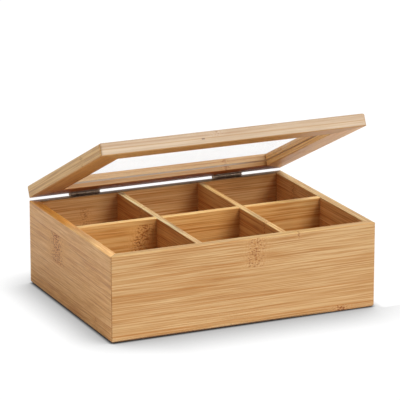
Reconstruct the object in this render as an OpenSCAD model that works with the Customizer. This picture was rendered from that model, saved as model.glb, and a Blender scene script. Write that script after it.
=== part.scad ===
// Tea bag organizer box: a mitred bamboo box with six compartments and a hinged lid that
// frames a clear window. Millimetres, +Z up. The origin is the middle of the underside, the
// front faces -Y and the hinges are at the back. The lid is drawn part way open.

/* [Box] */
// Outside width, left to right
body_w = 217; // [180:1:280]
// Outside depth, front to back
body_d = 165; // [130:1:220]
// Height of the rim above the table
body_h = 67; // [50:1:100]
// Thickness of the four walls
wall_t = 7; // [6:0.5:9]
// Rounding of the upright outer corners
corner_r = 1.2; // [0.5:0.1:2]
// Rounding of the rim's outer edge
rim_r = 1; // [0.4:0.1:2]
// Rounding of the rim's inner edge
rim_inner_r = 0.6; // [0.2:0.1:1.5]
// Rounding of the outer edge at the bottom
foot_r = 3; // [0.5:0.5:4]

/* [Bottom panel] */
// Thickness of the bottom panel, which is flush with the underside of the walls
base_t = 4; // [3:0.5:6]
// Width of the rebate that the panel takes from each wall
base_lap = 3; // [2:0.5:4]
// Gap between the panel's edge and the rebate
base_fit = 0.1; // [0:0.05:0.3]

/* [Dividers] */
// Thickness of the dividers
divider_t = 5; // [3:0.5:7]
// How far the dividers' top edges stay below the rim
divider_drop = 0.3; // [0:0.1:5]
// Rounding of the dividers' top edges
divider_r = 0.6; // [0.2:0.1:1.2]
// Gap on each side of a divider in the slot that it crosses
lap_fit = 0.1; // [0.05:0.05:0.3]

/* [Lid] */
// Thickness of the lid frame
lid_t = 10; // [8:0.5:14]
// Width of the four rails
rail_w = 21; // [15:0.5:30]
// Rounding of the lid's upright outer corners
lid_corner_r = 2; // [0.5:0.1:4]
// Rounding of the lid's upper outer edge
lid_top_r = 2.5; // [0.5:0.1:3]
// Rounding of the lid's lower outer edge
lid_foot_r = 1; // [0.3:0.1:2]
// Rounding of the window's upper edge
window_r = 1.8; // [0.3:0.1:2.5]
// Rounding of the window's lower edge
window_foot_r = 0.6; // [0.2:0.1:1.2]
// Gap between the rim and the closed lid
lid_gap = 0.8; // [0.5:0.1:1.5]
// Angle that the lid is open, in degrees
lid_open = 25.25; // [0:0.25:100]

/* [Window pane] */
// Thickness of the clear pane
pane_t = 1.2; // [1:0.1:3]
// Height of the pane above the lid's underside
pane_rise = 3.7; // [2:0.1:4.5]
// How far the pane reaches into the groove of each rail
pane_lap = 4.5; // [3:0.5:8]
// Gap between each face of the pane and the groove
pane_fit = 0.05; // [0.02:0.01:0.2]
// Gap between the pane's edge and the bottom of the groove
pane_edge_gap = 0.5; // [0.2:0.1:1]

/* [Hinges] */
// Length of each hinge, along its pin
hinge_w = 25; // [20:1:40]
// Distance from the end of the box to the middle of the hinge
hinge_inset = 47; // [30:1:60]
// Thickness of the hinge leaves
leaf_t = 0.8; // [0.6:0.1:1.2]
// Gap between the two leaves of a closed hinge
leaf_gap = 0.3; // [0.2:0.05:0.4]
// Width of wood left on the rim in front of a leaf
leaf_margin = 0.8; // [0.5:0.1:1.5]
// Gap around a leaf in its mortise
mortise_fit = 0.1; // [0.05:0.05:0.3]
// Radius of the knuckles
barrel_r = 1.5; // [1.3:0.1:2.5]
// Gap between the knuckles and what turns past them
barrel_gap = 0.3; // [0.2:0.05:0.6]
// Gap between neighbouring knuckles
knuckle_gap = 0.3; // [0.1:0.05:0.5]
// Radius of the hinge pin
pin_r = 0.75; // [0.5:0.05:0.9]
// Gap between the pin and the knuckles' bore
pin_fit = 0.05; // [0.02:0.01:0.1]
// Radius of the pin's heads
pin_head_r = 1.15; // [1.05:0.05:1.3]
// Thickness of the pin's heads
pin_head_t = 0.5; // [0.3:0.1:1]

/* [Hinge screws] */
// Overall length of a screw
screw_len = 6.5; // [5:0.5:7]
// Radius of a screw's shank
screw_r = 0.9; // [0.6:0.1:1.1]
// Radius of the countersunk head
screw_head_r = 1.6; // [1.3:0.1:2]
// Depth of the countersunk head
screw_head_t = 0.6; // [0.3:0.1:0.6]
// Gap between a screw and its hole
screw_fit = 0.05; // [0.02:0.01:0.1]
// Length of the screw's point
screw_point = 1.8; // [1:0.1:2.5]
// Radius that the point ends with
screw_tip_r = 0.2; // [0.1:0.05:0.4]
// Depth of the pilot hole past the point
screw_spare = 0.4; // [0.2:0.1:1]
// Distance from the end of the hinge to each of its screws
screw_inset = 4.5; // [3:0.5:6]
// Width of the driver slots
slot_w = 0.45; // [0.3:0.05:0.6]
// Depth of the driver slots
slot_depth = 0.3; // [0.2:0.05:0.4]

/* [Hidden] */
$fn = 48;

// Overshoot that carries a cut through a face
over = 1;
// Knuckles on a hinge: the body's leaf has the odd ones, the lid's leaf those between
knuckles = 5;

// Clear space inside the walls
inner_w = body_w - 2 * wall_t;
inner_d = body_d - 2 * wall_t;
// The bottom rounding leaves some flat under the wall, beside the rebate
foot_flat = 0.5;
foot_used = min(foot_r, wall_t - base_lap - foot_flat);

// Dividers stand on the bottom panel, and the two cross dividers part the width in three
divider_h = body_h - divider_drop - base_t;
cross_x = ((inner_w - 2 * divider_t) / 3 + divider_t) / 2;
slot_h = divider_h / 2;

// Undersides of the closed lid and of its pane
lid_z = body_h + lid_gap;
pane_z = lid_z + pane_rise;
window_w = body_w - 2 * rail_w;
window_d = body_d - 2 * rail_w;

// The hinge pin lies behind the back wall, half way up the gap under the lid
hinge_x = body_w / 2 - hinge_inset;
hinge_y = body_d / 2 + barrel_gap + barrel_r;
hinge_z = body_h + lid_gap / 2;
leaf_w = wall_t - leaf_margin;
leaf_reach = barrel_r + barrel_gap + leaf_w;
knuckle_len = (hinge_w - (knuckles - 1) * knuckle_gap) / knuckles;
screw_x = hinge_w / 2 - screw_inset;
screw_y = leaf_w / 2 - leaf_reach;

bamboo = [0.80, 0.62, 0.41];
bamboo_dark = [0.72, 0.52, 0.34];
bamboo_pale = [0.86, 0.70, 0.52];
bronze = [0.30, 0.23, 0.17];
clear = [0.92, 0.95, 0.96, 0.35];

// What a rounding of radius r takes from a corner at the origin
module corner_cut(r) {
    difference() {
        translate([-over, -over]) square(r + over);
        translate([r, r]) circle(r);
    }
}

// A w by h rectangle with its lower left corner at the origin. The four radii are those of
// its lower left, lower right, upper right and upper left corners
module rounded_rect(w, h, radii) {
    difference() {
        square([w, h]);
        corner_cut(radii[0]);
        translate([w, 0]) mirror([1, 0]) corner_cut(radii[1]);
        translate([w, h]) rotate(180) corner_cut(radii[2]);
        translate([0, h]) mirror([0, 1]) corner_cut(radii[3]);
    }
}

// The front side of a w by d mitred frame of boards t wide. The child is the board's section,
// with its outer face on the left and its underside on z = 0
module mitred_side(w, d, t, h, corner) {
    intersection() {
        translate([-w / 2, -d / 2, 0]) rotate([90, 0, 90]) linear_extrude(w) children();
        linear_extrude(h) intersection() {
            translate([-w / 2, -d / 2]) rounded_rect(w, d, [corner, corner, corner, corner]);
            polygon([
                [-w / 2, -d / 2], [w / 2, -d / 2], [w / 2 - t, t - d / 2], [t - w / 2, t - d / 2]
            ]);
        }
    }
}

module wall_section() {
    difference() {
        rounded_rect(wall_t, body_h, [foot_used, 0, rim_inner_r, rim_r]);
        translate([wall_t - base_lap, -over]) square([base_lap + over, base_t + over]);
    }
}

module wall(w, d) {
    mitred_side(w, d, wall_t, body_h, corner_r) wall_section();
}

module rail_section() {
    difference() {
        rounded_rect(rail_w, lid_t, [lid_foot_r, window_foot_r, window_r, lid_top_r]);
        translate([rail_w - pane_lap - pane_edge_gap, pane_rise - pane_fit])
            square([pane_lap + pane_edge_gap + over, pane_t + 2 * pane_fit]);
    }
}

module rail(w, d) {
    translate([0, 0, lid_z]) mitred_side(w, d, rail_w, lid_t, lid_corner_r) rail_section();
}

// Swings what is drawn on the closed lid open about the hinge pins
module swing() {
    translate([0, hinge_y, hinge_z]) rotate([-lid_open, 0, 0])
        translate([0, -hinge_y, -hinge_z]) children();
}

// Puts a hinge, drawn about its pin, at the left (-1) or the right (1)
module at_hinge(side) {
    translate([side * hinge_x, hinge_y, hinge_z]) children();
}

module along_x(r, from, to) {
    translate([from, 0, 0]) rotate([0, 90, 0]) cylinder(r = r, h = to - from);
}

// Knuckle i about the pin, with radius r, longer by grow at each end
module knuckle(i, r, grow) {
    start = i * (knuckle_len + knuckle_gap) - hinge_w / 2;
    along_x(r, start - grow, start + knuckle_len + grow);
}

// A screw with its head flush with the top of the lower leaf, or the hole for it with a fit
module screw_shape(fit, spare) {
    translate([0, 0, -leaf_gap / 2]) {
        translate([0, 0, -screw_head_t])
            cylinder(r1 = screw_r + fit, r2 = screw_head_r + fit, h = screw_head_t);
        translate([0, 0, screw_point - screw_len - spare])
            cylinder(r = screw_r + fit, h = screw_len + spare - screw_point);
        translate([0, 0, -screw_len - spare])
            cylinder(r1 = screw_tip_r + fit, r2 = screw_r + fit, h = screw_point);
    }
}

module at_screws() {
    for (x = [-screw_x, screw_x]) translate([x, screw_y, 0]) children();
}

module screw() {
    difference() {
        screw_shape(0, 0);
        for (turn = [0, 90]) rotate(turn)
            translate([-screw_head_r, -slot_w / 2, -leaf_gap / 2 - slot_depth])
                cube([2 * screw_head_r, slot_w, slot_depth + over]);
    }
}

// The lower leaf of a closed hinge, about its pin. It has the knuckles first, first + 2, ...
module leaf(first) {
    difference() {
        union() {
            difference() {
                translate([-hinge_w / 2, -leaf_reach, -leaf_gap / 2 - leaf_t])
                    cube([hinge_w, leaf_reach, leaf_t]);
                for (i = [1 - first:2:knuckles - 1]) knuckle(i, barrel_r + barrel_gap, knuckle_gap);
            }
            for (i = [first:2:knuckles - 1]) knuckle(i, barrel_r, 0);
        }
        along_x(pin_r + pin_fit, -hinge_w / 2 - over, hinge_w / 2 + over);
        at_screws() screw_shape(screw_fit, screw_spare);
    }
}

module pin() {
    along_x(pin_r, -hinge_w / 2, hinge_w / 2);
    for (side = [0, 1]) mirror([side, 0, 0]) translate([hinge_w / 2, 0, 0]) rotate([0, 90, 0])
        cylinder(r1 = pin_head_r, r2 = pin_r, h = pin_head_t);
}

// What the lower leaf and its screws take from the wood under them
module leaf_seat() {
    translate([-hinge_w / 2 - mortise_fit, -leaf_reach - mortise_fit, -leaf_gap / 2 - leaf_t])
        cube([hinge_w + 2 * mortise_fit, leaf_reach + mortise_fit + over, leaf_t + lid_gap]);
    at_screws() screw_shape(screw_fit, screw_spare);
}

module front_wall() {
    color(bamboo) wall(body_w, body_d);
}

module back_wall() {
    color(bamboo) difference() {
        rotate(180) wall(body_w, body_d);
        for (side = [-1, 1]) at_hinge(side) leaf_seat();
    }
}

module left_wall() {
    color(bamboo_dark) rotate(-90) wall(body_d, body_w);
}

module right_wall() {
    color(bamboo_dark) rotate(90) wall(body_d, body_w);
}

module bottom_panel() {
    panel_w = inner_w + 2 * (base_lap - base_fit);
    panel_d = inner_d + 2 * (base_lap - base_fit);
    color(bamboo_pale) translate([-panel_w / 2, -panel_d / 2, 0]) cube([panel_w, panel_d, base_t]);
}

// A divider along X with rounded top edges, standing on the bottom panel
module divider(len) {
    translate([-len / 2, -divider_t / 2, base_t]) rotate([90, 0, 90]) linear_extrude(len)
        rounded_rect(divider_t, divider_h, [0, 0, divider_r, divider_r]);
}

// A slot for a divider that crosses at x, from z = low to the height given
module lap_slot(x, low, h) {
    slot = divider_t + 2 * lap_fit;
    translate([x - slot / 2, -divider_t / 2 - over, low]) cube([slot, divider_t + 2 * over, h]);
}

module long_divider() {
    color(bamboo_pale) difference() {
        divider(inner_w);
        for (x = [-cross_x, cross_x]) lap_slot(x, base_t + slot_h, slot_h + over);
    }
}

module cross_divider(x) {
    color(bamboo_pale) translate([x, 0, 0]) rotate(90) difference() {
        divider(inner_d);
        lap_slot(0, base_t - over, slot_h + over);
    }
}

module cross_divider_left() {
    cross_divider(-cross_x);
}

module cross_divider_right() {
    cross_divider(cross_x);
}

module left_hinge_body_leaf() {
    color(bronze) at_hinge(-1) leaf(0);
}

module right_hinge_body_leaf() {
    color(bronze) at_hinge(1) leaf(0);
}

module left_hinge_pin() {
    color(bronze) at_hinge(-1) pin();
}

module right_hinge_pin() {
    color(bronze) at_hinge(1) pin();
}

module body_hinge_screws() {
    color(bronze) for (side = [-1, 1]) at_hinge(side) at_screws() screw();
}

module lid_front_rail() {
    color(bamboo_pale) swing() rail(body_w, body_d);
}

module lid_back_rail() {
    color(bamboo_pale) swing() difference() {
        rotate(180) rail(body_w, body_d);
        for (side = [-1, 1]) at_hinge(side) mirror([0, 0, 1]) leaf_seat();
    }
}

module lid_left_rail() {
    color(bamboo) swing() rotate(-90) rail(body_d, body_w);
}

module lid_right_rail() {
    color(bamboo) swing() rotate(90) rail(body_d, body_w);
}

module window_pane() {
    pane_w = window_w + 2 * pane_lap;
    pane_d = window_d + 2 * pane_lap;
    color(clear) swing() translate([-pane_w / 2, -pane_d / 2, pane_z]) cube([pane_w, pane_d, pane_t]);
}

module left_hinge_lid_leaf() {
    color(bronze) swing() at_hinge(-1) mirror([0, 0, 1]) leaf(1);
}

module right_hinge_lid_leaf() {
    color(bronze) swing() at_hinge(1) mirror([0, 0, 1]) leaf(1);
}

module lid_hinge_screws() {
    color(bronze) swing() for (side = [-1, 1]) at_hinge(side) mirror([0, 0, 1]) at_screws() screw();
}

front_wall();
back_wall();
left_wall();
right_wall();
bottom_panel();
long_divider();
cross_divider_left();
cross_divider_right();
left_hinge_body_leaf();
right_hinge_body_leaf();
left_hinge_pin();
right_hinge_pin();
body_hinge_screws();
lid_front_rail();
lid_back_rail();
lid_left_rail();
lid_right_rail();
window_pane();
left_hinge_lid_leaf();
right_hinge_lid_leaf();
lid_hinge_screws();
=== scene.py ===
import math

import bmesh
import bpy
from mathutils import Matrix, Vector


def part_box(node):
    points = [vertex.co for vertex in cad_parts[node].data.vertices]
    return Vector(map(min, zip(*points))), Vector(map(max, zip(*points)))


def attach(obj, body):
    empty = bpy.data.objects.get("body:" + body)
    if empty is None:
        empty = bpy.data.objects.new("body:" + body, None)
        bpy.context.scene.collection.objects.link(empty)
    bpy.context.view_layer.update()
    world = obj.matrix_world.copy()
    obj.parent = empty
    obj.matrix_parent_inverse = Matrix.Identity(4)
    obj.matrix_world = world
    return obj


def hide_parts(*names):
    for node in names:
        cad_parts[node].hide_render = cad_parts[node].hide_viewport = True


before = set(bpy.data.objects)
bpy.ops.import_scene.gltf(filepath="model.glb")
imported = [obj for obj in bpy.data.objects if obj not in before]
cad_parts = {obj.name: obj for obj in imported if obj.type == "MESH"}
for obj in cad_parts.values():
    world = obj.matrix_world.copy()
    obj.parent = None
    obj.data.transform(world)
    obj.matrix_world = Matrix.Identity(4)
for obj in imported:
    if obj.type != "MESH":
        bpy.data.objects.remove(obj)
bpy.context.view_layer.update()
mm = 0.001

# Viewpoint: a long lens at a little more than two metres, to the left of the box and a
# little above it, aimed at the middle of the open box.
view_turn, view_rise = math.radians(-24.324), math.radians(15.951)
view_aim, view_distance = Vector((0.2, 0.5, 75.8)) * mm, 2.2324
to_camera = Vector((
    math.sin(view_turn) * math.cos(view_rise),
    -math.cos(view_turn) * math.cos(view_rise),
    math.sin(view_rise),
))
camera = bpy.data.objects.new("camera", bpy.data.cameras.new("camera"))
camera.data.sensor_width = 36
camera.data.lens = 262.25
camera.location = view_aim + to_camera * view_distance
camera.rotation_mode = "QUATERNION"
camera.rotation_quaternion = (-to_camera).to_track_quat("-Z", "Y")
bpy.context.scene.collection.objects.link(camera)
bpy.context.scene.camera = camera


# Box walls: four 7 mm boards of carbonised bamboo, each glued up from flat strips about
# 20 mm wide, mitred and glued at the corners. The rim and the corners are eased, the foot
# is rounded, and a rebate inside takes the bottom panel.
box_width, box_depth = 217 * mm, 165 * mm
wall_thickness, panel_thickness = 7 * mm, 4 * mm
glue_gap, weld_distance = 0.02 * mm, 0.002 * mm
hinge_line = Vector((0, 84.3, 67.4)) * mm
hinge_spacing, hinge_width = 123 * mm, 25 * mm
leaf_reach, leaf_thickness, leaf_clearance = 8 * mm, 0.8 * mm, 0.15 * mm
mortise_fit, mortise_overrun = 0.1 * mm, 1 * mm


def feed(node, sockets):
    """Gives a node's sockets their values, or the wires that drive them."""
    for key, value in sockets.items():
        if isinstance(value, Wire):
            node.id_data.links.new(value.socket, node.inputs[key])
        else:
            node.inputs[key].default_value = value


class Wire:
    """The output of a node. Sums on wires add Math nodes, and node() adds any other node."""

    def __init__(self, tree, socket=None):
        self.tree, self.socket = tree, socket

    def node(self, kind, sockets=None, out=0, stops=(), **settings):
        made = self.tree.nodes.new(kind)
        for key, setting in settings.items():
            setattr(made, key, setting)
        if stops:
            ramp = made.color_ramp.elements
            while len(ramp) > 1:
                ramp.remove(ramp[0])
            for i, (place, colour) in enumerate(stops):
                stop = ramp.new(place) if i else ramp[0]
                stop.position, stop.color = place, colour
        feed(made, sockets or {})
        return Wire(self.tree, made.outputs[out])

    def sum(self, operation, *terms):
        return self.node("ShaderNodeMath", dict(enumerate(terms)), operation=operation)

    def function(self, name):
        return self.sum(name, self)

    def __add__(self, other):
        return self.sum("ADD", self, other)

    def __radd__(self, other):
        return self.sum("ADD", other, self)

    def __sub__(self, other):
        return self.sum("SUBTRACT", self, other)

    def __rsub__(self, other):
        return self.sum("SUBTRACT", other, self)

    def __mul__(self, other):
        return self.sum("MULTIPLY", self, other)

    def __rmul__(self, other):
        return self.sum("MULTIPLY", other, self)

    def __truediv__(self, other):
        return self.sum("DIVIDE", self, other)

    def __rtruediv__(self, other):
        return self.sum("DIVIDE", other, self)

    def __pow__(self, other):
        return self.sum("POWER", self, other)

    def __neg__(self):
        return self.sum("MULTIPLY", self, -1)

    def __abs__(self):
        return self.function("ABSOLUTE")

    def __gt__(self, other):
        return self.sum("GREATER_THAN", self, other)

    def larger(self, other):
        return self.sum("MAXIMUM", self, other)

    def smaller(self, other):
        return self.sum("MINIMUM", self, other)

    def rise(self, low, high):
        """0 where this is at low, 1 where it is at high."""
        return self.node("ShaderNodeMapRange", {"Value": self, "From Min": low, "From Max": high},
                         clamp=True, interpolation_type="SMOOTHSTEP")

    def axis(self, letter):
        return self.node("ShaderNodeSeparateXYZ", {0: self}, out=letter)

    def xyz(self, x, y, z):
        return self.node("ShaderNodeCombineXYZ", {0: x, 1: y, 2: z})

    def noise(self, scale, detail, roughness=0.5):
        return self.node("ShaderNodeTexNoise", {
            "Vector": self, "Scale": scale, "Detail": detail, "Roughness": roughness},
            noise_dimensions="3D")

    def colour(self, value):
        made = self.node("ShaderNodeRGB")
        made.socket.default_value = value
        return made

    def blended(self, factor, colour, way="MIX"):
        """This colour, or the other where the factor is 1."""
        return self.node("ShaderNodeMix", {0: factor, 6: self, 7: colour}, out=2,
                         data_type="RGBA", blend_type=way)

    def kept(self, name, value, kind="FLOAT_VECTOR"):
        """This geometry, with a value kept on its points under a name."""
        return self.node("GeometryNodeStoreNamedAttribute", {
            "Geometry": self, "Name": name, "Value": value}, data_type=kind, domain="POINT")

    def recalled(self, name, kind="FLOAT_VECTOR"):
        return self.node("GeometryNodeInputNamedAttribute", {"Name": name}, data_type=kind)

    def curve(self):
        return self.node("GeometryNodeMeshToCurve", {0: self})

    def drawn(self, section, capped=True):
        """A section drawn along this curve, with each point's place on it kept as section."""
        section = section.curve().kept("section", self.node("GeometryNodeInputPosition"))
        return self.node("GeometryNodeCurveToMesh", {
            "Curve": self, "Profile Curve": section, "Fill Caps": capped})

    def shaped(self, position):
        return self.node("GeometryNodeSetPosition", {"Geometry": self, "Position": position})

    def welded(self):
        return self.node("GeometryNodeMergeByDistance", {
            "Geometry": self, "Distance": weld_distance})

    def moved(self, **how):
        return self.node("GeometryNodeTransform", {"Geometry": self, **how})

    def in_row(self, count, spacing, first, back=0.0):
        """Copies of this geometry along X, the first one at (first, back)."""
        row = self.node("GeometryNodeMeshLine", {
            "Count": count, "Start Location": self.xyz(first, back, 0),
            "Offset": self.xyz(spacing, 0, 0)}, mode="OFFSET")
        row = self.node("GeometryNodeInstanceOnPoints", {"Points": row, "Instance": self})
        return self.node("GeometryNodeRealizeInstances", {0: row})

    def less(self, cutter):
        return self.node("GeometryNodeMeshBoolean", {"Mesh 1": self, "Mesh 2": cutter},
                         operation="DIFFERENCE", solver="EXACT")

    def or_else(self, asked, other):
        """The other geometry where it is asked for, and this one where it is not."""
        return self.node("GeometryNodeSwitch", {"Switch": asked, "False": self, "True": other},
                         input_type="GEOMETRY")


def new_material(name):
    """A material, its shader and a wire from the place on the piece."""
    material = bpy.data.materials.new(name)
    material.use_nodes = True
    place = Wire(material.node_tree).node("ShaderNodeTexCoord", out="Object")
    return material, material.node_tree.nodes["Principled BSDF"], place


def as_shut(place):
    """Where a place on the open lid is when the lid is shut."""
    closing = Matrix.Rotation(lid_opened, 4, "X")
    return place.node("ShaderNodeMapping", {
        "Vector": place, "Rotation": (lid_opened, 0, 0),
        "Location": hinge_line - closing @ hinge_line})


def paint(red, green, blue):
    """A colour given as it looks, as the shader needs it."""
    shown = (red / 255, green / 255, blue / 255)
    return (*((c / 12.92 if c <= 0.04045 else ((c + 0.055) / 1.055) ** 2.4) for c in shown), 1)


def bamboo(name, grain, tones, seed, strips=(), knots=(), swung=False, mitred=True,
           coarse=1.0, fine=1.0, flecks=0.06, length=1.0, stains_and_painted_light=()):
    """Lacquered bamboo in strips. grain names the axis that the fibres follow, then the one
    that the strips are laid along. A strip is (lower edge, change of tone), and a knot is
    (place on the grain, low edge, high edge, reach along the grain, slant, strength). A stain,
    or a patch of painted light or shade, is ({axis: (where it starts, where it is full, and
    where it fades again)}, how much red, green and blue stay). Their lengths are in mm."""
    material, shader, place = new_material(name)
    if swung:
        place = as_shut(place)
    axes = {letter: place.axis(letter) for letter in "XYZ"}
    along, across = axes[grain[0]], axes[grain[1]]
    through = axes[next(letter for letter in "XYZ" if letter not in grain)]

    # strips: each has its own tone and its own run of fibres, with a thin glue line between
    tone, run, glue, pale = 0.5, seed * 3.7, 0.0, 0.0
    for lower, change in strips:
        above = across - lower * mm
        past = above.rise(-0.06 * mm, 0.06 * mm)
        tone = tone + past * change
        run = run + past * (5.3 + change * 7)
        glue = (1 - abs(above).rise(0.12 * mm, 0.5 * mm)).larger(glue)
        pale = (1 - abs(above - 1.0 * mm).rise(0.3 * mm, 0.9 * mm)).larger(pale)

    # knots: the rings where a leaf grew, with the fibres pushed aside and specked around them
    knot, ring = along * 0, along * 0
    for spot, low, high, reach, slant, strength in knots:
        away = along - (across - (low + high) / 2 * mm) * slant - spot * mm
        held = (across - low * mm).rise(0, 0.5 * mm)
        held = held * (1 - (across - high * mm).rise(-0.5 * mm, 0))
        knot = ((1 - abs(away).rise(0, reach * mm)) * held * strength).larger(knot)
        ring = ((1 - abs(away).rise(0.25 * mm, 0.9 * mm)) * held * strength).larger(ring)

    def fibres(reach, width, detail=2.0, shift=0.0, bend=True):
        """Noise drawn out along the grain: the length and width of its grains, in mm."""
        side = wavy if bend else across
        at = place.xyz(along * (1000 / (reach * length)) + run + shift, side * (1000 / width),
                       through * (1000 / width) + shift)
        return at.noise(1.0, detail, 0.6)

    drift = fibres(70, 16, 1.0, 11.3, bend=False)
    shove = fibres(3.0, 2.4, 1.0, 5.1, bend=False)
    wavy = across + (drift - 0.5) * (1.5 * mm) + (shove - 0.5) * knot * (2.4 * mm)
    broad = fibres(100, 10, 2.0, 2.2)
    streak = fibres(110, 1.5, 1.5, 7.9)
    thread = fibres(80, 0.8, 1.5, 4.4)
    hair = fibres(30, 0.40, 1.5, 6.6)
    dark_run = fibres(105, 1.3, 1.0, 9.6).rise(0.58, 0.64) * (0.45 * fine)
    light_run = fibres(90, 1.5, 1.0, 3.3).rise(0.58, 0.64) * (0.45 * fine)
    fleck = fibres(15, 0.85, 1.0, 1.7).rise(0.54, 0.62)
    specks = place.xyz(along * 430 + seed, across * 1250, through * 900).noise(1.0, 1.5, 0.7)

    # colour: the tones by depth, then runs, flecks, knots, glue lines, and stains and patches of
    # painted light and shade laid over them
    dark, middle, light = tones
    depth = (tone + (broad - 0.5) * (1.15 * coarse) + (streak - 0.5) * (0.80 * fine)
             + (thread.rise(0.38, 0.62) - 0.5) * (0.45 * fine) + (hair - 0.5) * (1.15 * fine))
    colour = place.node("ShaderNodeValToRGB", {0: depth}, stops=(
        (0.0, paint(*dark)), (0.5, paint(*middle)), (1.0, paint(*light))))
    orange = paint(dark[0] * 1.04, dark[1] * 0.99, dark[2] * 0.82)
    brown = paint(dark[0] * 0.78, dark[1] * 0.58, dark[2] * 0.33)
    halo = paint(middle[0] * 1.05, middle[1] * 1.08, middle[2] * 1.14)
    ripple_pitch = 2.4 * mm
    ripple = along * (2 * math.pi / ripple_pitch) + (shove - 0.5) * 14 + (drift - 0.5) * 9
    ripple = ripple.function("SINE").rise(0.35, 0.95)
    speckled = (specks * (0.60 + knot * 0.40)).rise(0.505, 0.56)
    for factor, over in (
        (light_run, paint(*light)), (dark_run, orange), (fleck * flecks, brown),
        (knot * (0.45 + specks * 0.3), halo), (speckled * knot * 0.95, brown),
        (ripple * knot * 0.5, orange), (ring * shove.rise(0.40, 0.62) * 0.45, brown),
    ):
        colour = colour.blended(factor, over)
    if strips:
        colour = colour.blended(pale * 0.3, paint(*light)).blended(glue * 0.6, orange)
    # patches of painted light and shade, and stains, multiplied into the colour one by one
    for where, kept in stains_and_painted_light:
        patch = 1.0
        for letter, (low, high, *fade) in where.items():
            patch = axes[letter].rise(low * mm, high * mm) * patch
            if fade:
                patch = (1 - axes[letter].rise(fade[0] * mm, fade[1] * mm)) * patch
        colour = colour.blended(patch, (*kept, 1), "MULTIPLY")
    if mitred:
        joint = abs((box_width / 2 - abs(axes["X"])) - (box_depth / 2 - abs(axes["Y"])))
        colour = colour.blended((1 - joint.rise(0.1 * mm, 0.42 * mm)) * 0.6, brown)

    relief = (thread * 0.7 + streak * 0.5 - fleck * 0.3 + ring * 0.6
              + (specks - 0.5) * knot * 0.8)
    feed(shader, {
        "Base Color": colour,
        "Roughness": 0.46 + (thread - 0.5) * 0.35 + (streak - 0.5) * 0.2 + knot * 0.08,
        "Normal": place.node("ShaderNodeBump", {
            "Strength": 0.45, "Distance": 0.12 * mm, "Height": relief}),
        "Coat Weight": 0.04, "Coat Roughness": 0.28, "Specular IOR Level": 0.3})
    return material


def new_tree(name, result, kinds):
    """An empty node tree with these sockets, a first wire in it and a wire from each socket."""
    tree = bpy.data.node_groups.new(name, "GeometryNodeTree")
    for kind, sockets in kinds.items():
        for socket in sockets:
            tree.interface.new_socket(socket, in_out="INPUT", socket_type="NodeSocket" + kind)
    tree.interface.new_socket(result, in_out="OUTPUT", socket_type="NodeSocketGeometry")
    given = tree.nodes.new("NodeGroupInput")
    return Wire(tree), {socket: Wire(tree, given.outputs[socket])
                        for sockets in kinds.values() for socket in sockets}


def finished(piece, crease, marks, finish):
    """The end of a node tree: the piece smooth up to its creases, with its material."""
    sharp = piece.node("GeometryNodeInputMeshEdgeAngle") > math.radians(crease)
    piece = piece.node("GeometryNodeSetShadeSmooth", {0: piece, "Shade Smooth": True},
                       domain="FACE")
    piece = piece.node("GeometryNodeSetShadeSmooth", {
        0: piece, "Selection": sharp, "Shade Smooth": False}, domain="EDGE")
    for mark in marks:
        piece = piece.node("GeometryNodeRemoveAttribute", {"Geometry": piece, "Name": mark})
    piece = piece.node("GeometryNodeRealizeInstances", {0: piece})
    piece = piece.node("GeometryNodeSetMaterial", {"Geometry": piece, "Material": finish})
    feed(piece.tree.nodes.new("NodeGroupOutput"), {0: piece})
    return piece.tree


def board_tree():
    """A straight board of any section. Its ends are square or mitred, the mitres round off
    into the corner, a row of equal cuts can be sawn in it, and it is then laid in place."""
    start, size = new_tree("board", "Board", {
        "Geometry": ("Section",), "Int": ("Cuts",), "Material": ("Finish",),
        "Vector": ("Cut Size", "Cut Place", "Shift", "Hinge Line"),
        "Float": ("Length", "Corner Radius", "Mitred", "Joint Gap", "Face Distance", "Rise",
                  "Cut Spacing", "Turn", "Opened")})

    # stations along the board: square to it until the corner starts, then round the corner
    steps, flat_length = 7, 0.15 * mm
    index = start.node("GeometryNodeInputIndex")
    near_end = index.smaller(2 * steps + 1 - index)
    angle = (steps - 1 - near_end).larger(0) / (steps - 1) * (math.pi / 4)
    radius = size["Corner Radius"]
    reach = size["Length"] / 2 - radius + radius * angle.function("SINE")
    reach = reach - (near_end > steps - 0.5) * flat_length
    curl = radius * (1 - angle.function("COSINE"))
    side = (index > steps + 0.5) * 2 - 1
    path = start.node("GeometryNodeMeshLine", {"Count": 2 * steps + 2, "Offset": (1, 0, 0)},
                      mode="OFFSET")
    path = path.curve().kept("station", start.xyz(reach, curl, side))
    board = path.drawn(size["Section"])
    station, point = start.recalled("station"), start.recalled("section")

    # the mitre: no point lies further out than the joint, and the outer face curls in
    inward = point.axis("Y").larger(station.axis("Y"))
    mitre_end = size["Length"] / 2 - inward - size["Joint Gap"] / 2
    end = mitre_end * size["Mitred"] + (1 - size["Mitred"]) * (size["Length"] / 2)
    board = board.shaped(start.xyz(
        station.axis("X").smaller(end) * station.axis("Z"), inward - size["Face Distance"],
        point.axis("Z") + size["Rise"])).welded()

    # the cuts: hinge mortises, or the slots where two dividers cross
    cut = start.node("GeometryNodeMeshCube", {"Size": size["Cut Size"]})
    cuts = cut.in_row(size["Cuts"], size["Cut Spacing"],
                      (size["Cuts"] - 1) * size["Cut Spacing"] / -2)
    board = board.or_else(size["Cuts"] > 0.5, board.less(cuts.moved(Translation=size["Cut Place"])))

    # laid in place, and for a lid board swung open about the hinge pins
    board = board.moved(Rotation=start.xyz(0, 0, size["Turn"]), Translation=size["Shift"])
    board = board.moved(Translation=start.node(
        "ShaderNodeVectorMath", {0: size["Hinge Line"], 3: -1.0}, operation="SCALE"))
    board = board.moved(Rotation=start.xyz(-size["Opened"], 0, 0), Translation=size["Hinge Line"])
    return finished(board, 32, ("station", "section"), size["Finish"])


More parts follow.
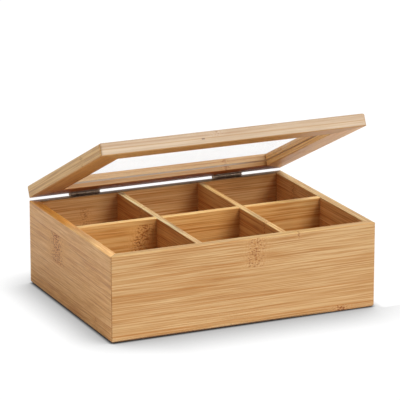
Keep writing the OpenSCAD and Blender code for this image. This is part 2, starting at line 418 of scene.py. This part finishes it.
def eased_section(corners):
    """The outline of a board's section as a mesh. A corner is (depth, height, radius) in mm."""
    points, lead_in, arc_steps = [], 0.15, 8
    for i, (depth, height, radius) in enumerate(corners):
        here = Vector((depth, height))
        back = (Vector(corners[i - 1][:2]) - here).normalized()
        ahead = (Vector(corners[(i + 1) % len(corners)][:2]) - here).normalized()
        if radius == 0:
            points.append(here)
            continue
        points.append(here + back * (radius + lead_in))
        middle = here + (back + ahead) * radius
        for step in range(arc_steps + 1):
            turn = step / arc_steps * math.pi / 2
            points.append(middle - ahead * radius * math.cos(turn) - back * radius * math.sin(turn))
        points.append(here + ahead * (radius + lead_in))
    section = bpy.data.meshes.new("section")
    section.from_pydata([(0, p.x * mm, p.y * mm) for p in points],
                        [(i, (i + 1) % len(points)) for i in range(len(points))], [])
    return section


def built(name, tree, start_mesh, body, node, sizes):
    """A piece made by a node tree with its sizes, as a plain mesh that stands for its node."""
    piece = bpy.data.objects.new(name, start_mesh)
    bpy.context.scene.collection.objects.link(piece)
    maker = piece.modifiers.new("maker", "NODES")
    maker.node_group = tree
    for item in tree.interface.items_tree:
        if item.item_type == "SOCKET" and item.in_out == "INPUT" and item.name in sizes:
            maker[item.identifier] = sizes[item.name]
    ready = piece.evaluated_get(bpy.context.evaluated_depsgraph_get())
    mesh = bpy.data.meshes.new_from_object(ready)
    piece.modifiers.clear()
    form = bmesh.new()
    form.from_mesh(mesh)
    bmesh.ops.recalc_face_normals(form, faces=form.faces[:])
    form.to_mesh(mesh)
    form.free()
    piece.data = mesh
    mesh.name = name
    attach(piece, body)
    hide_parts(node)
    return piece


board = board_tree()
wall_section = eased_section([
    (0, 0, 3), (4, 0, 0), (4, 4, 0), (7, 4, 0), (7, 67, 0.6), (0, 67, 1)])
honey = ((170, 115, 58), (192, 146, 92), (211, 175, 126))
gold = ((192, 128, 64), (224, 170, 104), (238, 196, 138))
tan = ((178, 114, 54), (216, 159, 94), (236, 190, 132))
# painted contact shadow along the lowest 2 mm of the foot, fading out towards the right end
foot_shadow = ({"Z": (2.2, 1.2), "X": (95, 20)}, (0.22, 0.17, 0.13))
# painted light and shade on the rim tops: each wall's rim is made lighter or darker by how the
# light falls on it
rim = {"Z": (66.2, 66.8)}
# painted shade darkening each cell towards its right-hand end, where the divider or wall beside it
# shades it
cell_ends = [{"X": (end - 22, end, end + 2, end + 2.1)} for end in (-37.2, 32.2, 101.5)]
cell_shade = (0.66, 0.58, 0.52)
# Front wall: painted contact shadow along the foot, and painted light on the rim.
front_bamboo = bamboo(
    "bamboo_front", "XZ", honey, 1.0, strips=[(5.5, 0.10), (22, -0.06), (43, 0.04)],
    knots=[(8.5, 44, 67, 19, 0.1, 0.9), (44, 62, 68, 5, 0, 0.8), (80, 0, 5.5, 17, 0, 1.0)],
    stains_and_painted_light=[foot_shadow, (rim, (1.05, 1.12, 1.0))])
# Back wall: painted shade at the right-hand end of each cell, and on the rim under the lid.
back_bamboo = bamboo(
    "bamboo_back", "XZ", gold, 2.0, strips=[(14, -0.08), (33, 0.1), (54, -0.05)],
    knots=[(-65, 36, 57, 10, 0, 0.85), (38, 14, 33, 14, 0.1, 0.9), (-30, 33, 54, 15, -0.1, 0.9)],
    stains_and_painted_light=[({"Y": (80, 78), **end}, cell_shade) for end in cell_ends]
    + [(rim, (0.62, 0.68, 0.72))])
# Left wall: painted light on the rim, a stretch of it more orange in the middle, and painted
# contact shadow along the foot.
left_bamboo = bamboo(
    "bamboo_left", "YZ", tan, 3.0, strips=[(12, 0.08), (34, -0.05), (55, 0.06)],
    knots=[(25, 32, 56, 30, 0.15, 1.0), (-52, 0, 12, 12, 0, 0.7)],
    coarse=0.3, fine=0.85, flecks=0.1, length=0.5,
    stains_and_painted_light=[(rim, (1.24, 1.36, 1.36)), ({**rim, "Y": (-10, 20)}, (1.16, 0.94, 0.52)), foot_shadow])
# Right wall: painted shade on the rim.
right_bamboo = bamboo(
    "bamboo_right", "YZ", tan, 4.0, strips=[(9, -0.06), (29, 0.09), (49, -0.06)],
    knots=[(-18, 29, 49, 14, 0.1, 0.9), (44, 49, 68, 12, 0, 0.8)],
    stains_and_painted_light=[(rim, (0.85, 1.04, 1.16))])
hinge_mortise = (hinge_width + 2 * mortise_fit, leaf_reach + mortise_fit + mortise_overrun,
                 2 * leaf_thickness)
mortise_place = leaf_reach + mortise_fit - hinge_line.y - hinge_mortise[1] / 2
for name, length, apart, turn, cuts, finish, slot in (
    ("front_wall", box_width, box_depth, 0, 0, front_bamboo, "bamboo_walls"),
    ("back_wall", box_width, box_depth, math.pi, 2, back_bamboo, "bamboo_walls"),
    ("left_wall", box_depth, box_width, -math.pi / 2, 0, left_bamboo, "bamboo_sides"),
    ("right_wall", box_depth, box_width, math.pi / 2, 0, right_bamboo, "bamboo_sides"),
):
    built(name + "_board", board, wall_section, "box", name, {
        "Length": length, "Corner Radius": 1.2 * mm, "Mitred": 1.0, "Joint Gap": glue_gap,
        "Face Distance": apart / 2, "Rise": 0.0, "Turn": turn, "Cuts": cuts,
        "Cut Spacing": hinge_spacing, "Cut Size": hinge_mortise,
        "Cut Place": (0, mortise_place, hinge_line.z - leaf_clearance),
        "Shift": (0, 0, 0), "Opened": 0.0, "Hinge Line": (0, 0, 0), "Finish": finish})


# Bottom panel: a 4 mm bamboo panel with eased edges, let into the rebate from below and
# flush with the underside of the walls.
panel_low, panel_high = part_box("bottom_panel")
panel_mesh = bpy.data.meshes.new("bottom_panel_board")
panel_form = bmesh.new()
bmesh.ops.create_cube(panel_form, size=1.0)
bmesh.ops.scale(panel_form, vec=panel_high - panel_low, verts=panel_form.verts)
bmesh.ops.translate(panel_form, vec=(panel_high + panel_low) / 2, verts=panel_form.verts)
bmesh.ops.bevel(panel_form, geom=panel_form.edges[:], offset=0.4 * mm, segments=3, profile=0.5,
                affect="EDGES")
panel_form.to_mesh(panel_mesh)
panel_form.free()
panel_mesh.materials.append(bamboo(
    "bamboo_panel", "XY", ((172, 120, 68), (203, 157, 106), (217, 178, 128)), 5.0, mitred=False,
    strips=[(-60, 0.1), (-40, -0.14), (-20, 0.09), (0, -0.05), (20, 0.12), (40, -0.1), (60, 0.05)],
    knots=[(-62, -40, -20, 13, 0, 0.9), (33, 0, 20, 14, 0, 0.9), (71, 40, 60, 12, 0, 0.8)]))
bottom = bpy.data.objects.new("bottom_panel_board", panel_mesh)
bpy.context.scene.collection.objects.link(bottom)
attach(bottom, "box")
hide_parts("bottom_panel")


# Dividers: three 5 mm bamboo slats with rounded top edges that cross in half-lap slots and
# stand on the bottom panel. The long one is slotted from above, the two short ones from below.
slat_thickness, slat_top, slot_fit, cross_distance = 5 * mm, 66.7 * mm, 0.1 * mm, 34.667 * mm
slat_section = eased_section([(0, 4, 0), (5, 4, 0), (5, 66.7, 0.6), (0, 66.7, 0.6)])
amber = ((196, 128, 60), (230, 172, 98), (240, 196, 128))
russet = ((172, 104, 46), (208, 146, 80), (226, 176, 110))
# the sawn tops of the slats are paler, and painted lighter as well where the light falls on them
# from above
sawn_and_lit_top = {"Z": (66.0, 66.6)}
slot_overrun = 1 * mm
slot_half = (slat_top - panel_thickness) / 2
for name, length, turn, shift, count, low, finish in (
    # Long slat: painted shade at the right-hand end of each cell, below its top.
    ("long_divider", box_width - 2 * wall_thickness, 0, 0, 2, panel_thickness + slot_half,
     bamboo("bamboo_long_divider", "XZ", amber, 6.0, mitred=False,
            strips=[(24, 0.06), (44, -0.04)],
            knots=[(-50, 38, 63, 18, 0.3, 1.0), (40, 24, 44, 12, 0, 0.8)],
            stains_and_painted_light=[(sawn_and_lit_top, (1.08, 1.3, 1.5))]
            + [({"Z": (66.3, 65.9), **end}, cell_shade) for end in cell_ends])),
    ("cross_divider_left", box_depth - 2 * wall_thickness, math.pi / 2, -cross_distance, 1,
     panel_thickness - slot_overrun,
     bamboo("bamboo_left_divider", "YZ", russet, 7.0, mitred=False, coarse=1.2, fine=1.2,
            strips=[(22, 0.08), (46, -0.08)], knots=[(30, 46, 68, 12, 0, 0.8)],
            stains_and_painted_light=[(sawn_and_lit_top, (1.26, 2.00, 3.30))])),
    ("cross_divider_right", box_depth - 2 * wall_thickness, math.pi / 2, cross_distance, 1,
     panel_thickness - slot_overrun,
     bamboo("bamboo_right_divider", "YZ", russet, 8.0, mitred=False, coarse=1.2, fine=1.2,
            strips=[(19, -0.06), (41, 0.09)], knots=[(-46, 41, 68, 12, 0, 0.8)],
            stains_and_painted_light=[(sawn_and_lit_top, (1.15, 1.45, 1.75))])),
):
    built(name + "_slat", board, slat_section, "box", name, {
        "Length": length, "Corner Radius": 0.0, "Mitred": 0.0, "Joint Gap": 0.0,
        "Face Distance": slat_thickness / 2, "Rise": 0.0, "Turn": turn, "Cuts": count,
        "Cut Spacing": 2 * cross_distance,
        "Cut Size": (slat_thickness + 2 * slot_fit, 7 * mm, slot_half + slot_overrun),
        "Cut Place": (0, 0, low + (slot_half + slot_overrun) / 2),
        "Shift": (shift, 0, 0), "Opened": 0.0, "Hinge Line": (0, 0, 0), "Finish": finish})


# Lid frame: four flat 21 mm rails, 10 mm thick, of two layers of bamboo glued face to face,
# mitred at the corners, rounded outside and grooved inside for the pane.
lid_opened, lid_rise = math.radians(25.25), 67.8 * mm
rail_section = eased_section([
    (0, 0, 1), (21, 0, 0.6), (21, 3.65, 0), (16, 3.65, 0), (16, 4.95, 0), (21, 4.95, 0),
    (21, 10, 1.8), (0, 10, 2.5)])
layer = 72.3
blush = ((168, 133, 98), (193, 168, 139), (212, 190, 163))
olive = ((178, 127, 71), (214, 169, 107), (230, 190, 130))
# the back wall's gold with painted shade laid into it, for the lid's back rail
gold_in_shade = ((163, 112, 60), (190, 148, 98), (204, 171, 128))
# painted shade on the underside of the lid rails, where they face down into the box
shaded_underside = {"Z": (68.7, 67.95)}
dark_mark = {"X": (-28.1, -27.5, -25.6, -25.0), "Z": (71.4, 71.7, 72.5, 72.8)}
# Each rail carries painted shade on its underside; the back rail's lower layer is also a little
# darker.
for name, length, apart, turn, cuts, finish in (
    ("lid_front_rail", box_width, box_depth, 0, 0,
     bamboo("bamboo_lid_front", "XZ", blush, 9.0, swung=True, strips=[(layer, -0.22)],
            knots=[(-16, 72.5, 78, 12, 0, 0.8)], coarse=0.6, fine=0.45,
            stains_and_painted_light=[(shaded_underside, (0.94, 0.64, 0.30)), (dark_mark, (0.46, 0.42, 0.46))])),
    ("lid_back_rail", box_width, box_depth, math.pi, 2,
     bamboo("bamboo_lid_back", "XZ", gold_in_shade, 10.0, swung=True, strips=[(layer, 0.06)],
            knots=[(52, 66, 79, 10, 0, 0.8)],
            stains_and_painted_light=[(shaded_underside, (0.75, 0.44, 0.17)), ({"Z": (72.0, 71.4)}, (0.91, 0.85, 0.77))])),
    ("lid_left_rail", box_depth, box_width, -math.pi / 2, 0,
     bamboo("bamboo_lid_left", "YZ", olive, 11.0, swung=True, strips=[(layer, 0.08)],
            knots=[(-41, 66, 79, 10, 0, 0.7)], stains_and_painted_light=[(shaded_underside, (0.765, 0.60, 0.45))])),
    # Right rail: painted light on its inner face, which faces away from the lamps.
    ("lid_right_rail", box_depth, box_width, math.pi / 2, 0,
     bamboo("bamboo_lid_right", "YZ", gold, 12.0, swung=True, strips=[(layer, -0.06)],
            knots=[(12, 66, 79, 10, 0, 0.7)],
            stains_and_painted_light=[(shaded_underside, (0.95, 0.98, 1.1)), ({"X": (87.7, 87.6)}, (1.22, 1.28, 1.20))])),
):
    built(name + "_board", board, rail_section, "lid", name, {
        "Length": length, "Corner Radius": 2 * mm, "Mitred": 1.0, "Joint Gap": glue_gap,
        "Face Distance": apart / 2, "Rise": lid_rise, "Turn": turn, "Cuts": cuts,
        "Cut Spacing": hinge_spacing, "Cut Size": hinge_mortise,
        "Cut Place": (0, mortise_place, hinge_line.z + leaf_clearance),
        "Shift": (0, 0, 0), "Opened": lid_opened, "Hinge Line": hinge_line, "Finish": finish})


# Window: a clear 1.2 mm acrylic sheet that stands 4.5 mm deep in the groove of the rails,
# flame polished on its edges. Where the groove holds it, the sheet is painted opaque and dark
# for the shade in the groove, with a painted glow on it: a thin grey line at the mouth of the
# groove for the light that the sheet carries to its rim, which fades to brown towards the right.
pane_width, pane_depth, pane_thickness, pane_rise = 184 * mm, 132 * mm, 1.2 * mm, 3.7 * mm
mouth_x, mouth_y, mouth_edge = 87.52 * mm, 61.52 * mm, 0.04 * mm
pane_clear, pane_shader, pane_start = new_material("clear_acrylic")
pane_place = as_shut(pane_start)
haze, scuff = pane_place.noise(45.0, 3.0), pane_place.noise(900.0, 2.0)
held = abs(pane_place.axis("X")).rise(mouth_x, mouth_x + mouth_edge).larger(
    abs(pane_place.axis("Y")).rise(mouth_y, mouth_y + mouth_edge))
# painted glow on the held rim of the sheet: grey, turning brown towards the right
painted_edge_glow = pane_place.colour(paint(168, 149, 131)).blended(
    pane_place.axis("X").rise(50 * mm, 87 * mm), paint(128, 88, 54))
sheen = pane_place.node("ShaderNodeFresnel", {"IOR": 1.49})
feed(pane_shader, {
    "Base Color": pane_place.colour((0.92, 0.94, 0.94, 1)).blended(held, paint(60, 52, 46)),
    "Roughness": 0.04 + held * 0.5 + haze.rise(0.45, 0.75) * 0.06 + scuff.rise(0.6, 0.8) * 0.05,
    "Alpha": 0.02 + haze.rise(0.4, 0.7) * 0.015 + sheen * 0.06 + held,
    "Emission Color": pane_place.colour((0, 0, 0, 1)).blended(held, painted_edge_glow),
    "Emission Strength": 0.9, "Specular IOR Level": 1.0, "IOR": 1.49})
swing_open = (Matrix.Translation(hinge_line) @ Matrix.Rotation(-lid_opened, 4, "X")
              @ Matrix.Translation(-hinge_line))
pane_form = bmesh.new()
bmesh.ops.create_cube(pane_form, size=1.0)
bmesh.ops.scale(pane_form, vec=(pane_width, pane_depth, pane_thickness), verts=pane_form.verts)
bmesh.ops.bevel(pane_form, geom=pane_form.edges[:], offset=0.12 * mm, segments=2, profile=0.5,
                affect="EDGES")
bmesh.ops.translate(pane_form, vec=(0, 0, lid_rise + pane_rise + pane_thickness / 2),
                    verts=pane_form.verts)
bmesh.ops.transform(pane_form, matrix=swing_open, verts=pane_form.verts)
pane_mesh = bpy.data.meshes.new("window_sheet")
pane_form.to_mesh(pane_mesh)
pane_form.free()
pane_mesh.materials.append(pane_clear)
pane = bpy.data.objects.new("window_sheet", pane_mesh)
bpy.context.scene.collection.objects.link(pane)
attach(pane, "lid")
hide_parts("window_pane")


# Hinges: two 25 mm butt hinges of antiqued brass. Each has a leaf let into the rim, a leaf
# let into the lid, a headed pin through five knuckles, and four countersunk screws.
bronze, bronze_shader, bronze_place = new_material("antique_bronze")
patina = bronze_place.noise(420.0, 3.0, 0.6)
rubbed = bronze_place.noise(1500.0, 2.0)
metal = bronze_place.node("ShaderNodeValToRGB", {0: patina * 1.6 - 0.3}, stops=(
    (0.0, paint(118, 92, 74)), (0.5, paint(160, 138, 118)), (1.0, paint(206, 192, 178))))
feed(bronze_shader, {
    "Base Color": metal.blended(rubbed.rise(0.58, 0.74) * 0.5, paint(190, 170, 148)),
    "Roughness": 0.30 + patina * 0.22,
    "Normal": bronze_place.node("ShaderNodeBump", {
        "Strength": 0.3, "Distance": 0.05 * mm, "Height": patina + rubbed}),
    "Metallic": 0.8})
screw_spacing, screw_place = 16 * mm, -4.9 * mm
barrel_radius, barrel_gap, knuckle_gap = 1.5 * mm, 0.3 * mm, 0.3 * mm


def leaf_tree():
    """One leaf of a butt hinge about its pin: a plate with every other knuckle rolled from it,
    bored for the pin and countersunk for its screws."""
    start, size = new_tree("hinge_leaf", "Leaf", {
        "Geometry": ("Rolled Section",), "Int": ("Knuckles", "First Knuckle"),
        "Vector": ("Place",), "Material": ("Finish",),
        "Float": ("Width", "Knuckle Gap", "Plate Near", "Plate Far", "Plate Top",
                  "Plate Thickness", "Bore Radius", "Screw Spacing", "Screw Place",
                  "Shank Radius", "Head Radius", "Head Depth", "Turned Over", "Opened")})
    sides, above_plate, hole_depth, bore_overrun = 32, 0.004 * mm, 4 * mm, 1.2

    # one rolled tab, drawn out along the pin, repeated at every other knuckle
    pitch = (size["Width"] + size["Knuckle Gap"]) / size["Knuckles"]
    tab_length = pitch - size["Knuckle Gap"]
    path = start.node("GeometryNodeMeshLine", {"Count": 2, "Offset": (1, 0, 0)}, mode="OFFSET")
    index = start.node("GeometryNodeInputIndex")
    tab = path.curve().kept("station", start.xyz(tab_length * index, 0, 0)).drawn(
        size["Rolled Section"])
    tab = tab.shaped(start.node("ShaderNodeVectorMath", {
        0: start.recalled("station"), 1: start.recalled("section")}, operation="ADD"))
    tabs = ((size["Knuckles"] - size["First Knuckle"] + 1) / 2).function("FLOOR")
    tabs = tab.in_row(tabs, pitch * 2, size["First Knuckle"] * pitch - size["Width"] / 2)

    # the plate that joins the tabs, bored and countersunk
    plate = start.node("GeometryNodeMeshCube", {"Size": start.xyz(
        size["Width"], size["Plate Far"] - size["Plate Near"], size["Plate Thickness"])})
    plate = plate.moved(Translation=start.xyz(
        0, (size["Plate Far"] + size["Plate Near"]) / 2,
        size["Plate Top"] - size["Plate Thickness"] / 2))
    leaf = start.node("GeometryNodeMeshBoolean", {"Mesh 2": plate}, operation="UNION",
                      solver="EXACT")
    feed(leaf.socket.node, {"Mesh 2": tabs})
    bore = start.node("GeometryNodeMeshCylinder", {
        "Vertices": sides, "Radius": size["Bore Radius"], "Depth": size["Width"] * bore_overrun})
    leaf = leaf.less(bore.moved(Rotation=(0, math.pi / 2, 0)))
    flare = start.node("GeometryNodeMeshCone", {
        "Vertices": sides, "Radius Top": size["Head Radius"],
        "Radius Bottom": size["Shank Radius"], "Depth": size["Head Depth"]})
    flare = flare.moved(Translation=start.xyz(
        0, size["Screw Place"], size["Plate Top"] - size["Head Depth"] + above_plate))
    hole = start.node("GeometryNodeMeshCylinder", {
        "Vertices": sides, "Radius": size["Shank Radius"], "Depth": hole_depth})
    hole = hole.moved(Translation=start.xyz(0, size["Screw Place"], 0))
    for cutter in (flare, hole):
        leaf = leaf.less(cutter.in_row(2, size["Screw Spacing"], size["Screw Spacing"] / -2))
    leaf = leaf.welded().moved(Rotation=start.xyz(0, size["Turned Over"], 0))
    leaf = leaf.moved(Rotation=start.xyz(-size["Opened"], 0, 0), Translation=size["Place"])
    return finished(leaf, 32, ("station", "section"), size["Finish"])


def rolled_section(barrel, top, thickness, near):
    """The outline of a plate that ends in a round knuckle about the pin, as a mesh."""
    low, arc_steps = top - thickness, 30
    ease_top, ease_low, ease_tip = 0.2 * mm, 0.1 * mm, 0.06 * mm
    first = math.atan2(low, -math.sqrt(barrel ** 2 - low ** 2))
    last = math.atan2(top, -math.sqrt(barrel ** 2 - top ** 2)) + 2 * math.pi
    points = [(near, top - ease_top), (near, low + ease_low), (near + ease_low, low)]
    for step in range(arc_steps + 1):
        turn = first + (last - first) * step / arc_steps
        points.append((barrel * math.cos(turn), barrel * math.sin(turn)))
    points += [(near + ease_top, top), (near + ease_tip, top - ease_tip)]
    section = bpy.data.meshes.new("rolled_section")
    section.from_pydata([(0, y, z) for y, z in points],
                        [(i, (i + 1) % len(points)) for i in range(len(points))], [])
    return section


leaf_form = leaf_tree()
rolled = rolled_section(barrel_radius, -leaf_clearance, leaf_thickness, -leaf_reach)
for side, body, first, name in (
    (-1, "box", 0, "left_hinge_body_leaf"), (1, "box", 0, "right_hinge_body_leaf"),
    (-1, "lid", 1, "left_hinge_lid_leaf"), (1, "lid", 1, "right_hinge_lid_leaf"),
):
    built(name + "_plate", leaf_form, rolled, body, name, {
        "Width": hinge_width, "Knuckles": 5, "First Knuckle": first, "Knuckle Gap": knuckle_gap,
        "Plate Near": -leaf_reach, "Plate Far": -barrel_radius - barrel_gap,
        "Plate Top": -leaf_clearance, "Plate Thickness": leaf_thickness,
        "Bore Radius": 0.8 * mm, "Screw Spacing": screw_spacing, "Screw Place": screw_place,
        "Shank Radius": 0.95 * mm, "Head Radius": 1.65 * mm, "Head Depth": 0.6 * mm,
        "Turned Over": math.pi * first, "Opened": lid_opened * first,
        "Place": hinge_line + Vector((side * hinge_spacing / 2, 0, 0)), "Finish": bronze})


# Hinge pins and screws, turned from brass: a pin with a domed head at each end, and screws
# with a countersunk head, a cross recess, a rolled thread and a point.
def turned_tree():
    """A turned piece from half its outline, with a thread and a cross recess where asked for,
    repeated on each hinge and laid in place."""
    start, size = new_tree("turned_piece", "Piece", {
        "Geometry": ("Half Outline",), "Int": ("Sides", "Hinges", "Copies"),
        "Vector": ("Place",), "Material": ("Finish",),
        "Float": ("Thread Pitch", "Thread Depth", "Thread Top", "Thread End", "Recess Width",
                  "Recess Depth", "Head Top", "Laid Over", "Hinge Spacing", "Copy Spacing",
                  "Copy Place", "Turned Over", "Opened")})
    ring = start.node("GeometryNodeCurvePrimitiveCircle", {
        "Resolution": size["Sides"], "Radius": 1.0}, mode="RADIUS")
    ring = ring.kept("round", start.node("GeometryNodeInputIndex") / size["Sides"], "FLOAT")
    piece = ring.drawn(size["Half Outline"], capped=False)
    point, part = start.recalled("section"), start.recalled("round", "FLOAT")
    height = point.axis("Z")
    wave = height / size["Thread Pitch"] + part
    wave = abs(wave - wave.function("FLOOR") - 0.5) * 2
    in_thread = (size["Thread Top"] > height) * (height > size["Thread End"])
    radius = point.axis("Y") + wave * size["Thread Depth"] * in_thread
    angle = part * (2 * math.pi)
    piece = piece.shaped(start.xyz(
        radius * angle.function("COSINE"), radius * angle.function("SINE"), height)).welded()
    across_head = 5 * mm
    for wide, deep in ((across_head, size["Recess Width"]), (size["Recess Width"], across_head)):
        groove = start.node("GeometryNodeMeshCube", {
            "Size": start.xyz(wide, deep, size["Recess Depth"] * 2)})
        groove = groove.moved(Translation=start.xyz(0, 0, size["Head Top"]))
        piece = piece.or_else(size["Recess Depth"] > 0, piece.less(groove))
    piece = piece.moved(Rotation=start.xyz(0, size["Laid Over"], 0))
    for count, spacing, back in (
        (size["Copies"], size["Copy Spacing"], size["Copy Place"]),
        (size["Hinges"], size["Hinge Spacing"], 0.0),
    ):
        piece = piece.in_row(count, spacing, (count - 1) * spacing / -2, back)
    piece = piece.moved(Rotation=start.xyz(0, size["Turned Over"], 0))
    piece = piece.moved(Rotation=start.xyz(-size["Opened"], 0, 0), Translation=size["Place"])
    return finished(piece, 40, ("round", "section"), size["Finish"])


def half_outline(points):
    """Half the outline of a turned piece as a mesh. A point is (radius, height) in mm."""
    outline = bpy.data.meshes.new("half_outline")
    outline.from_pydata([(0, r * mm, z * mm) for r, z in points],
                        [(i, i + 1) for i in range(len(points) - 1)], [])
    return outline


turned = turned_tree()
dome = [(0, 13.0), (0.35, 12.98), (0.7, 12.9), (0.95, 12.78), (1.1, 12.62), (1.15, 12.5),
        (0.77, 12.48), (0.75, 12.4)]
pin_outline = half_outline(dome + [(r, -z) for r, z in reversed(dome)])
for side, name in ((-1, "left_hinge_pin"), (1, "right_hinge_pin")):
    built(name + "_turned", turned, pin_outline, "box", name, {
        "Sides": 32, "Thread Pitch": 1 * mm, "Thread Depth": 0.0, "Thread Top": 0.0,
        "Thread End": 0.0, "Recess Width": 0.0, "Recess Depth": 0.0, "Head Top": 0.0,
        "Laid Over": math.pi / 2, "Hinges": 1, "Hinge Spacing": 0.0, "Copies": 1,
        "Copy Spacing": 0.0, "Copy Place": 0.0, "Turned Over": 0.0, "Opened": 0.0,
        "Place": hinge_line + Vector((side * hinge_spacing / 2, 0, 0)), "Finish": bronze})
thread_root, thread_start, thread_step, thread_steps = 0.72, -0.85, 0.1125, 36
screw_outline = half_outline(
    [(0, -0.15), (1.5, -0.15), (1.58, -0.18), (1.58, -0.22), (0.86, -0.75)]
    + [(thread_root, thread_start - step * thread_step) for step in range(thread_steps)]
    + [(0.2, -6.55), (0.12, -6.63), (0, -6.65)])
for body, over, name in (("box", 0, "body_hinge_screws"), ("lid", 1, "lid_hinge_screws")):
    built(name + "_turned", turned, screw_outline, body, name, {
        "Sides": 20, "Thread Pitch": 0.9 * mm, "Thread Depth": 0.18 * mm,
        "Thread Top": -0.9 * mm, "Thread End": -4.75 * mm, "Recess Width": 0.45 * mm,
        "Recess Depth": 0.3 * mm, "Head Top": -leaf_clearance, "Laid Over": 0.0, "Hinges": 2,
        "Hinge Spacing": hinge_spacing, "Copies": 2, "Copy Spacing": screw_spacing,
        "Copy Place": screw_place, "Turned Over": math.pi * over, "Opened": lid_opened * over,
        "Place": hinge_line, "Finish": bronze})


# Ground and light: a white matt floor under a white surround, a broad soft lamp overhead to
# the right of the box, and a low soft panel in front that fills the open cells. To the camera
# the floor shows a painted shadow around the box.
floor_half = 9
shade_reach, front_reach, touch_reach = 34 * mm, 17 * mm, 2.5 * mm
shade_power, touch_power = 1.2, 1.3
floor_mesh = bpy.data.meshes.new("floor")
floor_mesh.from_pydata(
    [(x * floor_half, y * floor_half, 0) for x, y in ((-1, -1), (1, -1), (1, 1), (-1, 1))],
    [], [(0, 1, 2, 3)])
floor_white, floor_shader, floor_place = new_material("floor_white")
floor_x, floor_y = floor_place.axis("X"), floor_place.axis("Y")
# painted shadow on the floor for the camera: the occlusion around the box, reaching further in
# front of it, cleared on the lamp side to the right, and darkest where the box touches
in_front = floor_y.rise(-70 * mm, -84 * mm) * floor_x.rise(-108 * mm, -60 * mm)
shade_cleared_side = floor_x.rise(98 * mm, 118 * mm) * floor_y.rise(-98 * mm, -84 * mm)
shade, touch = (
    floor_place.node("ShaderNodeAmbientOcclusion", {"Distance": distance}, out="AO", samples=16)
    for distance in (shade_reach + in_front * front_reach, touch_reach))
floor_seen = floor_place.node("ShaderNodeEmission", {
    "Color": shade.larger(shade_cleared_side) ** shade_power * touch ** touch_power, "Strength": 1.06})
floor_lit = floor_place.node("ShaderNodeBsdfDiffuse", {
    "Color": (0.85, 0.85, 0.85, 1), "Roughness": 0.0})
floor_mixed = floor_place.node("ShaderNodeMixShader", {
    0: floor_place.node("ShaderNodeLightPath", out="Is Camera Ray") * 0.94,
    1: floor_lit, 2: floor_seen})
floor_white.node_tree.nodes.remove(floor_shader)
feed(floor_white.node_tree.nodes["Material Output"], {"Surface": floor_mixed})
floor_mesh.materials.append(floor_white)
floor = bpy.data.objects.new("floor", floor_mesh)
bpy.context.scene.collection.objects.link(floor)

world_lights, world_shows, lamp_distance = 0.46, 1.0, 2
world = bpy.data.worlds.new("surround")
bpy.context.scene.world = world
world.use_nodes = True
surround = Wire(world.node_tree)
seen = surround.node("ShaderNodeLightPath", out="Is Camera Ray")
for ray in ("Is Glossy Ray", "Is Transmission Ray"):
    seen = seen.larger(surround.node("ShaderNodeLightPath", out=ray))
feed(world.node_tree.nodes["Background"], {
    "Color": (1, 1, 1, 1), "Strength": seen * (world_shows - world_lights) + world_lights})

for name, toward, level, spread in (
    ("overhead_lamp", (0.32, -0.30, 0.90), 1.70, 22),
    ("front_panel", (0.40, -0.74, 0.54), 1.00, 24),
):
    lamp = bpy.data.objects.new(name, bpy.data.lights.new(name, "SUN"))
    lamp.data.energy = level
    lamp.data.angle = math.radians(spread)
    lamp.location = Vector(toward) * lamp_distance
    lamp.rotation_mode = "QUATERNION"
    lamp.rotation_quaternion = Vector(toward).to_track_quat("Z", "Y")
    bpy.context.scene.collection.objects.link(lamp)
bpy.context.scene.view_settings.view_transform = "Standard"
